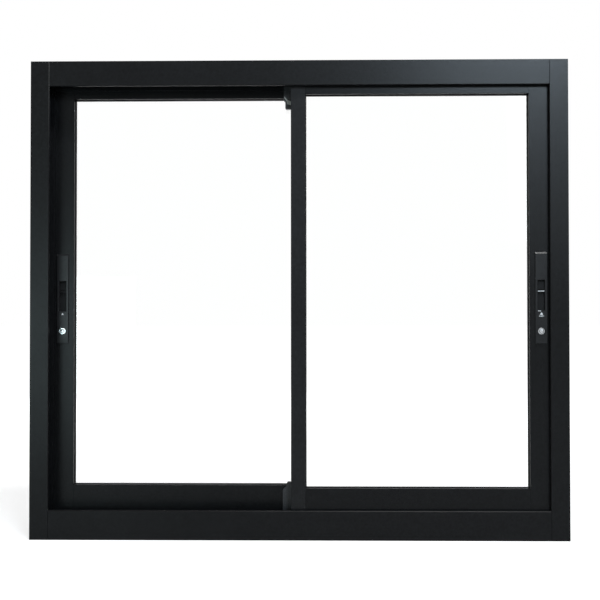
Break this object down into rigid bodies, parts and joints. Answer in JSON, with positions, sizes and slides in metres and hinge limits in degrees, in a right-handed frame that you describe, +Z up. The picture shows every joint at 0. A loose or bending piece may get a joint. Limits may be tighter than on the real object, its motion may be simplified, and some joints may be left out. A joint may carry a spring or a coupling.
{
  "type": "sliding window",
  "caption": "black aluminium two-track sliding window with overlapping glazed sashes, flush locks, rollers and wind blocks",
  "frame": {"origin": "middle of the window's width and depth, on the underside of the sill", "axes": "+X to the right as seen from the room, +Y from the room to the outside, +Z up"},
  "size_m": [1.1, 0.1, 0.98],
  "materials": {
    "frame_coat": "satin charcoal powder coat on aluminium",
    "sash_coat": "satin charcoal powder coat on aluminium",
    "glass": "clear float glass",
    "gasket_grey": "matt grey glazing rubber",
    "gasket_black": "matt black glazing rubber",
    "black_plastic": "moulded black plastic",
    "buffer_rubber": "matt black rubber",
    "wheel_plastic": "moulded natural nylon",
    "zinc_steel": "zinc plated steel",
    "chrome_screw": "polished chrome",
    "lock_coat": "smooth black coated metal",
    "lock_plastic": "moulded black plastic",
    "pile_fabric": "woven pile weather strip"
  },
  "bodies": {
    "root": {"head": "frame_coat", "sill": "frame_coat", "left_jamb": "frame_coat", "right_jamb": "frame_coat", "head_block": "black_plastic", "sill_block": "black_plastic", "left_keeper": "zinc_steel", "right_keeper": "zinc_steel", "drain_covers": "black_plastic", "head_stops": "black_plastic", "jamb_buffers": "buffer_rubber", "inner_lock_stile": "sash_coat", "inner_meeting_stile": "sash_coat", "inner_top_rail": "sash_coat", "inner_bottom_rail": "sash_coat", "inner_glass": "glass", "inner_setting_blocks": "black_plastic", "inner_gasket_room": "gasket_black", "inner_gasket_out": "gasket_black", "inner_roller_housings": "black_plastic", "inner_rollers": "wheel_plastic", "inner_lock_plate": "lock_coat", "inner_lock_case": "lock_coat", "inner_lock_slide": "lock_plastic", "inner_lock_screw": "chrome_screw", "inner_lock_hook": "zinc_steel", "inner_pile": "pile_fabric", "outer_lock_stile": "sash_coat", "outer_meeting_stile": "sash_coat", "outer_top_rail": "sash_coat", "outer_bottom_rail": "sash_coat", "outer_glass": "glass", "outer_setting_blocks": "black_plastic", "outer_gasket_room": "gasket_grey", "outer_gasket_out": "gasket_grey", "outer_roller_housings": "black_plastic", "outer_rollers": "wheel_plastic", "outer_lock_plate": "lock_coat", "outer_lock_case": "lock_coat", "outer_lock_slide": "lock_plastic", "outer_lock_screw": "chrome_screw", "outer_lock_hook": "zinc_steel", "outer_pile": "pile_fabric"}
  },
  "joints": []
}
